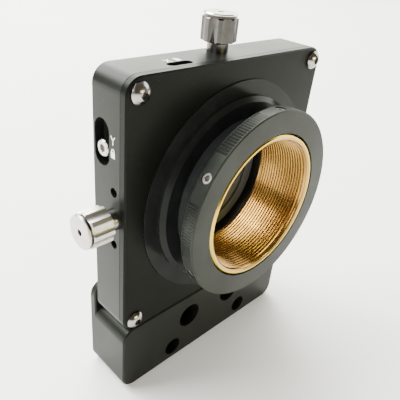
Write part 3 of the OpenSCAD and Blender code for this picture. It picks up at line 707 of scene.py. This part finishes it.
# Panels of soft light: name, setting for the power, place, target, width, height and colour
PANELS = (
    ("White wall", "wall_light", (1.33, 1.18, 1.0), (0, 0, 0.06), 2.2, 1.3, (0.96, 1.0, 0.86)),
    ("Key panel", "key_light", (-0.50, 0.60, 0.80), (-0.05, 0.10, 0.0), 0.7, 0.6, WHITE),
    ("Back panel", "back_light", (0.15, 0.95, 1.2), (0.05, 0.0, 0.0), 1.5, 1.0, WHITE),
    ("Right panel", "right_light", (1.5, -0.25, 0.75), (0, 0, 0.06), 0.9, 0.9, WHITE),
    ("Front panel", "front_light", (0.50, -1.85, 0.55), (0, 0, 0.06), 1.0, 0.36,
     (1.0, 0.97, 0.45)),
    ("Left panel", "left_light", (-1.3, -0.35, 0.75), (0, 0, 0.05), 0.9, 0.7, WHITE),
)


def lay_floor(size, material):
    """A square floor at height 0, centred under the mount."""
    made = bmesh.new()
    half = size / 2
    made.faces.new([made.verts.new((x * half, y * half, 0))
                    for x, y in ((-1, -1), (1, -1), (1, 1), (-1, 1))])
    mesh = to_mesh("floor", made)
    mesh.materials.append(material)
    floor = add_object("floor", mesh)


def light_room(scene, studio):
    """Light from all round, weaker and warmer in front than behind."""
    world = scene.world or bpy.data.worlds.new("World")
    scene.world = world
    world.use_nodes = True
    tree = world.node_tree
    background = tree.nodes["Background"]
    parts = tree.nodes.new("ShaderNodeSeparateXYZ")
    tree.links.new(tree.nodes.new("ShaderNodeTexCoord").outputs["Generated"], parts.inputs[0])

    def backwards(interpolation, **ends):
        """A value that changes with the direction, from the front to behind."""
        made = tree.nodes.new("ShaderNodeMapRange")
        made.interpolation_type = interpolation
        for key, value in ends.items():
            made.inputs[key.replace("_", " ")].default_value = value
        tree.links.new(parts.outputs["Y"], made.inputs["Value"])
        return made.outputs[0]

    strength = backwards("SMOOTHSTEP", From_Min=-0.7, From_Max=0.5,
                         To_Min=studio.room_in_front, To_Max=studio.room_behind)
    tree.links.new(strength, background.inputs["Strength"])
    mix = tree.nodes.new("ShaderNodeMix")
    mix.data_type = "RGBA"
    mix.inputs[6].default_value = (*studio.front_colour, 1.0)
    mix.inputs[7].default_value = (*studio.behind_colour, 1.0)
    tree.links.new(backwards("LINEAR", From_Min=-0.6, From_Max=0.2), mix.inputs["Factor"])
    tree.links.new(mix.outputs[2], background.inputs["Color"])


def soft_light(name, power, place, target, width, height, colour):
    """A panel of soft light, itself out of the camera's sight."""
    data = bpy.data.lights.new(name, "AREA")
    data.shape = "RECTANGLE"
    data.size, data.size_y = width, height
    data.energy = power
    data.color = colour
    light = add_object(name, data)
    light.location = place
    aim = Vector(target) - Vector(place)
    light.rotation_euler = aim.to_track_quat("-Z", "Y").to_euler()
    light.visible_camera = False


def place_camera(scene, studio):
    """The camera, turned by its pan and tilt and then rolled about its line of sight."""
    pan, tilt, roll = studio.camera_pan, studio.camera_tilt, studio.camera_roll
    forward = Vector((math.sin(-pan) * math.cos(tilt), math.cos(pan) * math.cos(tilt),
                      -math.sin(tilt)))
    level = forward.cross(Vector((0, 0, 1))).normalized()
    above = level.cross(forward)
    right = level * math.cos(roll) + above * math.sin(roll)
    up = above * math.cos(roll) - level * math.sin(roll)
    data = bpy.data.cameras.new("Camera")
    data.sensor_width = 36
    data.lens = studio.camera_lens
    data.shift_x, data.shift_y = studio.camera_shift
    data.clip_start, data.clip_end = 0.005, 50
    camera = add_object("Camera", data)
    turn = Matrix((right, up, -forward)).transposed().to_4x4()
    camera.matrix_world = Matrix.Translation(studio.camera_place) @ turn
    scene.camera = camera


# Operators

class LENSMOUNT_OT_foot(bpy.types.Operator):
    """Finishes the foot and the two screws that hold the frame to it"""
    bl_idname = "lens_mount.foot"
    bl_label = "Finish the foot"

    def execute(self, context):
        colours = context.scene.lens_mount_colours
        dress(anodised("Foot anodising", tone(colours.black, 0.55), 0.40, 1.0, 0.14), "base_block")
        dress(plain_steel("Countersunk screws", tuple(colours.dark_steel), 0.36), "base_screws")
        return {"FINISHED"}


class LENSMOUNT_OT_frame(bpy.types.Operator):
    """Finishes the frame, its cover, the cover screws and the pieces held in the frame"""
    bl_idname = "lens_mount.frame"
    bl_label = "Finish the frame"

    def execute(self, context):
        colours = context.scene.lens_mount_colours
        sizes = context.scene.lens_mount_sizes
        dress(anodised("Frame anodising", tone(colours.black, 0.7), 0.36, 1.0, 0.135),
              "frame_body")
        # A rim inside the cover's opening, a little thinner than the cover
        inset = 0.2 * MM
        front, back = COVER_FRONT + inset, COVER_BACK - inset
        inner_r, outer_r = sizes.opening_r, sizes.face_r + inset
        rim = [(inner_r, front), (outer_r, front), (outer_r, back), (inner_r, back)]
        # The cover's black is half the frame's: painted shade on the front faces
        cover = with_ring("front_cover_plate", "front_cover", turned_ring(rim),
                          anodised("Cover anodising", tone(colours.black, 0.35), 0.34, 0.8, 0.075),
                          "frame")
        dress(plain_steel("Bright screws", tone(colours.steel, 0.62), 0.2), "cover_screws")
        dress(plain_steel("Lock screw", tuple(colours.steel), 0.24), "upright_lock_screw")
        dress(plain_steel("Ground steel", tuple(colours.steel), 0.30), "upright_guide_rods",
              "cross_guide_rods", "side_spring_anchor_pins", "side_spring_stage_pins")
        dress(plain_steel("Spring wire", tone(colours.steel, 0.85), 0.28), "upright_springs",
              "side_springs")
        return {"FINISHED"}


class LENSMOUNT_OT_slides(bpy.types.Operator):
    """Finishes the upright slide, the thrust pads and the ball tips"""
    bl_idname = "lens_mount.slides"
    bl_label = "Finish the slides"

    def execute(self, context):
        colours = context.scene.lens_mount_colours
        dress(anodised("Slide anodising", tone(colours.black, 1.1), 0.42), "upright_slide")
        dress(plain_steel("Hardened steel", tuple(colours.steel), 0.18), "top_thrust_pad",
              "side_thrust_pad", "top_ball_tip", "side_ball_tip")
        return {"FINISHED"}


class LENSMOUNT_OT_stage(bpy.types.Operator):
    """Finishes the round stage, its neck and the rings inside it"""
    bl_idname = "lens_mount.stage"
    bl_label = "Finish the stage"

    def execute(self, context):
        colours = context.scene.lens_mount_colours
        sizes = context.scene.lens_mount_sizes
        # A round face just before the cover, on a boss that clears the cover's opening when
        # both slides are at their limits
        gap, clearance, overlap, edge = 0.03 * MM, 0.1 * MM, 0.4 * MM, 0.05 * MM
        face_r, inner_r = sizes.face_r, sizes.face_inner_r
        face_y, under_y = COVER_FRONT - sizes.face_proud, COVER_FRONT - gap
        boss_r = sizes.opening_r - DIAGONAL * sizes.travel - clearance
        boss_y = COVER_BACK + overlap
        face = [(inner_r, face_y), (face_r - edge, face_y), (face_r, face_y + edge),
                (face_r, under_y), (boss_r, under_y), (boss_r, boss_y), (inner_r, boss_y)]
        stage = with_ring("stage_with_face", "stage_slide", turned_ring(face),
                          turned_black("Stage face", tone(colours.gloss, 2.2), 0.16, 1.0, 0.085),
                          "stage")
        # The neck's glossy black is lightened five times: painted light in the shade behind the
        # collar
        dress(turned_black("Neck", tone(colours.gloss, 5.0), 0.24, 1.6), "neck_tube")
        dress(turned_black("Tube wall", tuple(colours.inner_black), 0.42, 2.0), "inner_tube")
        dress(turned_black("Ring face", tuple(colours.ring_grey), 0.40, 1.5), "spacer_ring",
              "aperture_ring")
        dress(plain_steel("Snap ring", tuple(colours.steel), 0.3), "snap_ring")
        dress(plain_steel("Black set screw", tuple(colours.dark_steel), 0.34),
              "sideways_lock_screw")
        return {"FINISHED"}


class LENSMOUNT_OT_collar(bpy.types.Operator):
    """Finishes the knurled collar and its set screws"""
    bl_idname = "lens_mount.collar"
    bl_label = "Finish the collar"

    def execute(self, context):
        colours = context.scene.lens_mount_colours
        sizes = context.scene.lens_mount_sizes
        # A seat that narrows the collar's bore to the brass lip
        bore_r, seat_r = sizes.lip_outer_r + sizes.seat_gap, sizes.seat_r
        front, back, edge = BRASS_FRONT, BRASS_FRONT + sizes.seat_l, 0.1 * MM
        seat = [(bore_r + edge, front), (seat_r, front), (seat_r, back), (bore_r, back),
                (bore_r, front + edge)]
        collar = with_ring("knurled_collar", "grip_collar", turned_ring(seat),
                           turned_black("Collar", tone(colours.black, 1.9), 0.36, 1.5, 0.11),
                           "collar")
        dress(plain_steel("Collar set screws", tone(colours.steel, 0.7), 0.38),
              "collar_set_screws")
        return {"FINISHED"}


class LENSMOUNT_OT_brass_ring(bpy.types.Operator):
    """Cuts the long thread of the brass ring"""
    bl_idname = "lens_mount.brass_ring"
    bl_label = "Cut the brass thread"

    def execute(self, context):
        sizes = context.scene.lens_mount_sizes
        brass = turned_brass("Turned brass", sizes, context.scene.lens_mount_colours)
        ring = new_piece("brass_thread_ring", thread_mesh(sizes), brass, "collar")
        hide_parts("thread_ring")
        return {"FINISHED"}


class LENSMOUNT_OT_adjusters(bpy.types.Operator):
    """Finishes the two knobs, their screws and bushings"""
    bl_idname = "lens_mount.adjusters"
    bl_label = "Finish the adjusters"

    def execute(self, context):
        steel = tuple(context.scene.lens_mount_colours.steel)
        side_steel = turned_steel("Side knob steel", steel, 0.34, 0, SIDE_CENTRE, cap=SIDE_CAP)
        # The top knob's cap is steel lightened 1.5 times, a painted highlight, and its body behind
        # the cap is steel darkened to 0.14, painted shade and dark reflection
        top_steel = turned_steel("Top knob steel", tone(steel, 1.5), 0.11, 2, TOP_CENTRE,
                                 side=tone(steel, 0.14), cap=TOP_CAP)
        for name, along, centre, (end, sense), material in (
                ("side_knob", 0, SIDE_CENTRE, SIDE_CAP, side_steel),
                ("top_knob", 2, TOP_CENTRE, TOP_CAP, top_steel)):
            profile = [(r * MM, end + sense * depth * MM) for r, depth in KNOB_CUT]
            ring = turned_ring(profile, KNOB_STEPS, centre, along)
            knob = with_ring(name + "_grooved", name, ring, material, name, "DIFFERENCE")
        dress(turned_steel("Side bushing", tone(steel, 0.4), 0.26, 0, SIDE_CENTRE),
              "side_bushing", "side_adjuster_screw")
        dress(turned_steel("Top bushing", tone(steel, 0.2), 0.26, 2, TOP_CENTRE),
              "top_bushing", "top_adjuster_screw")
        return {"FINISHED"}


class LENSMOUNT_OT_marks(bpy.types.Operator):
    """Adds the axis letters and padlocks beside the two lock slots"""
    bl_idname = "lens_mount.marks"
    bl_label = "Paint the marks"

    def execute(self, context):
        sizes = context.scene.lens_mount_sizes
        paint = paint_fill("Mark paint", tuple(context.scene.lens_mount_colours.mark))
        # The letters' half height, half width and the height of the Y's fork
        h = sizes.mark_height / 2
        w, fork = 0.36 * 2 * h, 0.05 * h
        letters = {
            "y_letter": [((-w, h), (0, fork)), ((w, h), (0, fork)), ((0, fork), (0, -h))],
            "x_letter": [((-w, h), (w, -h)), ((w, h), (-w, -h))],
        }
        # Local x runs towards the front on the left side, and to the right on the top
        left = Matrix(((0, 0, -1, FRAME_LOW.x), (-1, 0, 0, 0), (0, 1, 0, 0), (0, 0, 0, 1)))
        top = Matrix(((1, 0, 0, 0), (0, 1, 0, 0), (0, 0, 1, FRAME_HIGH.z), (0, 0, 0, 1)))
        for name, plane, place in (("y_letter", left, (0, -3.85, 85.9)),
                                   ("y_padlock", left, (0, -3.85, 82.4)),
                                   ("x_letter", top, (-20.1, -1.55, 0)),
                                   ("x_padlock", top, (-16.9, -1.55, 0))):
            to_world = Matrix.Translation(Vector(place) * MM) @ plane
            if name in letters:
                outlines = [stroke_outline(start, end, sizes.mark_stroke)
                            for start, end in letters[name]]
            else:
                outlines = padlock_outlines(sizes.mark_height, sizes.mark_stroke)
            made = bmesh.new()
            for outline in outlines:
                add_slab(made, outline, sizes.mark_fill, to_world)
            bmesh.ops.recalc_face_normals(made, faces=made.faces)
            new_piece(name, made, paint, "frame", smooth=False)
        return {"FINISHED"}


class LENSMOUNT_OT_studio(bpy.types.Operator):
    """Sets the pale floor, the soft lights and the camera"""
    bl_idname = "lens_mount.studio"
    bl_label = "Set the studio"

    def execute(self, context):
        scene = context.scene
        studio = scene.lens_mount_studio
        colour = tuple(scene.lens_mount_colours.floor)
        lay_floor(studio.floor_size, pale_floor("Pale floor", colour))
        light_room(scene, studio)
        for name, power, place, target, width, height, colour in PANELS:
            soft_light(name, getattr(studio, power), place, target, width, height, colour)
        place_camera(scene, studio)
        return {"FINISHED"}


class LENSMOUNT_PT_panel(bpy.types.Panel):
    """Lists the steps that dress the lens mount"""
    bl_idname = "LENSMOUNT_PT_panel"
    bl_label = "Lens mount"
    bl_space_type = "VIEW_3D"
    bl_region_type = "UI"
    bl_category = "Lens mount"

    def draw(self, context):
        for step in STEPS:
            self.layout.operator(step.bl_idname)
        for group in GROUPS:
            box = self.layout.box()
            settings = getattr(context.scene, group)
            for key in settings.__annotations__:
                box.prop(settings, key)


STEPS = (LENSMOUNT_OT_foot, LENSMOUNT_OT_frame, LENSMOUNT_OT_slides, LENSMOUNT_OT_stage,
         LENSMOUNT_OT_collar, LENSMOUNT_OT_brass_ring, LENSMOUNT_OT_adjusters,
         LENSMOUNT_OT_marks, LENSMOUNT_OT_studio)
GROUPS = {"lens_mount_sizes": LensMountSizes, "lens_mount_colours": LensMountColours,
          "lens_mount_studio": LensMountStudio}


def register():
    for cls in (*GROUPS.values(), *STEPS, LENSMOUNT_PT_panel):
        bpy.utils.register_class(cls)
    for name, group in GROUPS.items():
        setattr(bpy.types.Scene, name, PointerProperty(type=group))


def unregister():
    for name in GROUPS:
        delattr(bpy.types.Scene, name)
    for cls in reversed((*GROUPS.values(), *STEPS, LENSMOUNT_PT_panel)):
        bpy.utils.unregister_class(cls)


def main():
    register()
    for step in STEPS:
        group, name = step.bl_idname.split(".")
        getattr(getattr(bpy.ops, group), name)()


if __name__ == "__main__":
    main()
